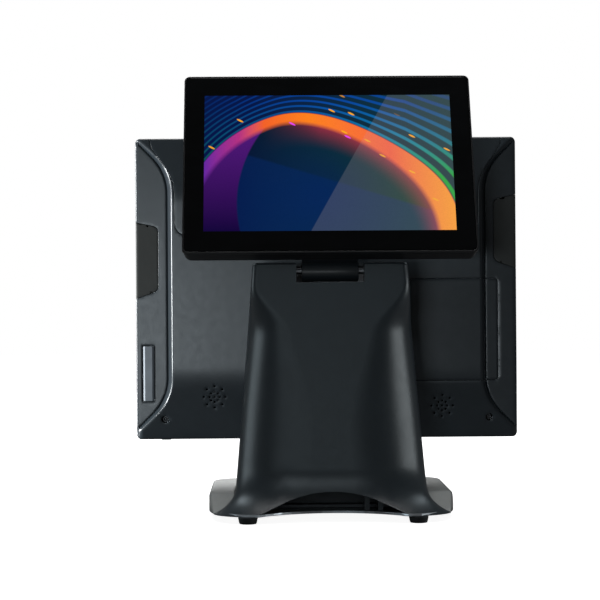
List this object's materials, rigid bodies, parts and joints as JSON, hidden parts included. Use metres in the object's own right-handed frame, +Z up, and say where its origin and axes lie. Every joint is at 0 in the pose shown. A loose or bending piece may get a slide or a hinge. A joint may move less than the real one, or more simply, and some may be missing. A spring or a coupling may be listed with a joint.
{
  "type": "pos touchscreen terminal",
  "caption": "Two-sided point-of-sale terminal: an operator touch display and a smaller customer display, each tilting on one moulded stand with a silver base.",
  "frame": {"origin": "on the counter, at the centre of the whole terminal's width and depth", "axes": "+Z up, -Y towards the operator, +Y towards the customer, +X to the operator's right"},
  "size_m": [0.35, 0.2128, 0.3877],
  "materials": {
    "graphite_shell": "fine matte texture, dark graphite blue",
    "module_cap": "matte, dark olive grey",
    "silver_base": "silver paint on plastic, satin",
    "black_plastic": "satin black",
    "front_glass": "clear over black printed border, polished",
    "lcd": "display module, satin",
    "rubber_foot": "moulded, matte",
    "zinc_steel": "zinc plated sheet",
    "dark_screw": "black oxide",
    "satin_aluminium": "satin anodised",
    "circuit_board": "green solder mask"
  },
  "bodies": {
    "stand": {"base_plate": "zinc_steel", "base_cover": "silver_base", "foot_front_left": "rubber_foot", "foot_front_right": "rubber_foot", "foot_rear_left": "rubber_foot", "foot_rear_right": "rubber_foot", "base_screw_1": "zinc_steel", "base_screw_2": "zinc_steel", "base_screw_3": "zinc_steel", "base_screw_4": "zinc_steel", "neck_rear_shell": "graphite_shell", "neck_front_shell": "graphite_shell", "stand_frame": "dark_screw", "main_hinge_shaft": "zinc_steel", "customer_hinge_shaft": "zinc_steel", "hinge_washer_left": "zinc_steel", "hinge_washer_right": "zinc_steel", "hinge_nut_left": "zinc_steel", "hinge_nut_right": "zinc_steel", "customer_bracket_left": "zinc_steel", "customer_bracket_right": "zinc_steel"},
    "operator_display": {"front_bezel": "black_plastic", "touch_glass": "front_glass", "lcd_panel": "lcd", "chassis_plate": "zinc_steel", "rear_cover": "graphite_shell", "side_port_plate": "satin_aluminium", "mainboard": "circuit_board", "heat_sink": "satin_aluminium", "ssd_drive": "satin_aluminium", "speaker_right": "black_plastic", "speaker_left": "black_plastic", "cover_screw_right": "dark_screw", "cover_screw_left": "dark_screw", "mount_bracket": "zinc_steel", "mount_screw_1": "zinc_steel", "mount_screw_2": "zinc_steel", "mount_screw_3": "zinc_steel", "mount_screw_4": "zinc_steel"},
    "customer_display": {"customer_glass": "front_glass", "customer_frame": "black_plastic", "customer_lcd": "lcd", "customer_board": "circuit_board", "customer_rear_shell": "black_plastic", "customer_hinge_arm": "graphite_shell", "arm_screw_1": "zinc_steel", "arm_screw_2": "zinc_steel", "arm_screw_3": "zinc_steel", "arm_screw_4": "zinc_steel"},
    "upper_cover_body": {"upper_cover": "graphite_shell"},
    "drive_door_body": {"drive_door": "graphite_shell"},
    "side_cap_right_body": {"side_cap_right": "module_cap"},
    "side_cap_left_body": {"side_cap_left": "module_cap"},
    "power_button_body": {"power_button": "black_plastic"}
  },
  "joints": [
    {"name": "main_tilt", "type": "hinge", "parent": "stand", "child": "operator_display", "pos_m": [0, -0.014, 0.186], "axis": [1, 0, 0], "range_deg": [-10, 7]},
    {"name": "customer_tilt", "type": "hinge", "parent": "stand", "child": "customer_display", "pos_m": [0, 0.048, 0.2123], "axis": [1, 0, 0], "range_deg": [-40, 2]},
    {"name": "power_press", "type": "slide", "parent": "operator_display", "child": "power_button_body", "axis": [0, 0, 1], "range_m": [0, 0.001], "stiffness_N_per_m": 40},
    {"name": "upper_cover_lift", "type": "slide", "parent": "operator_display", "child": "upper_cover_body", "axis": [0, 1, 0], "range_m": [0, 0.025]},
    {"name": "drive_door_lift", "type": "slide", "parent": "operator_display", "child": "drive_door_body", "axis": [0, 1, 0], "range_m": [0, 0.02]},
    {"name": "right_cap_pull", "type": "slide", "parent": "operator_display", "child": "side_cap_right_body", "axis": [1, 0, 0], "range_m": [0, 0.022]},
    {"name": "left_cap_pull", "type": "slide", "parent": "operator_display", "child": "side_cap_left_body", "axis": [-1, 0, 0], "range_m": [0, 0.022]}
  ]
}
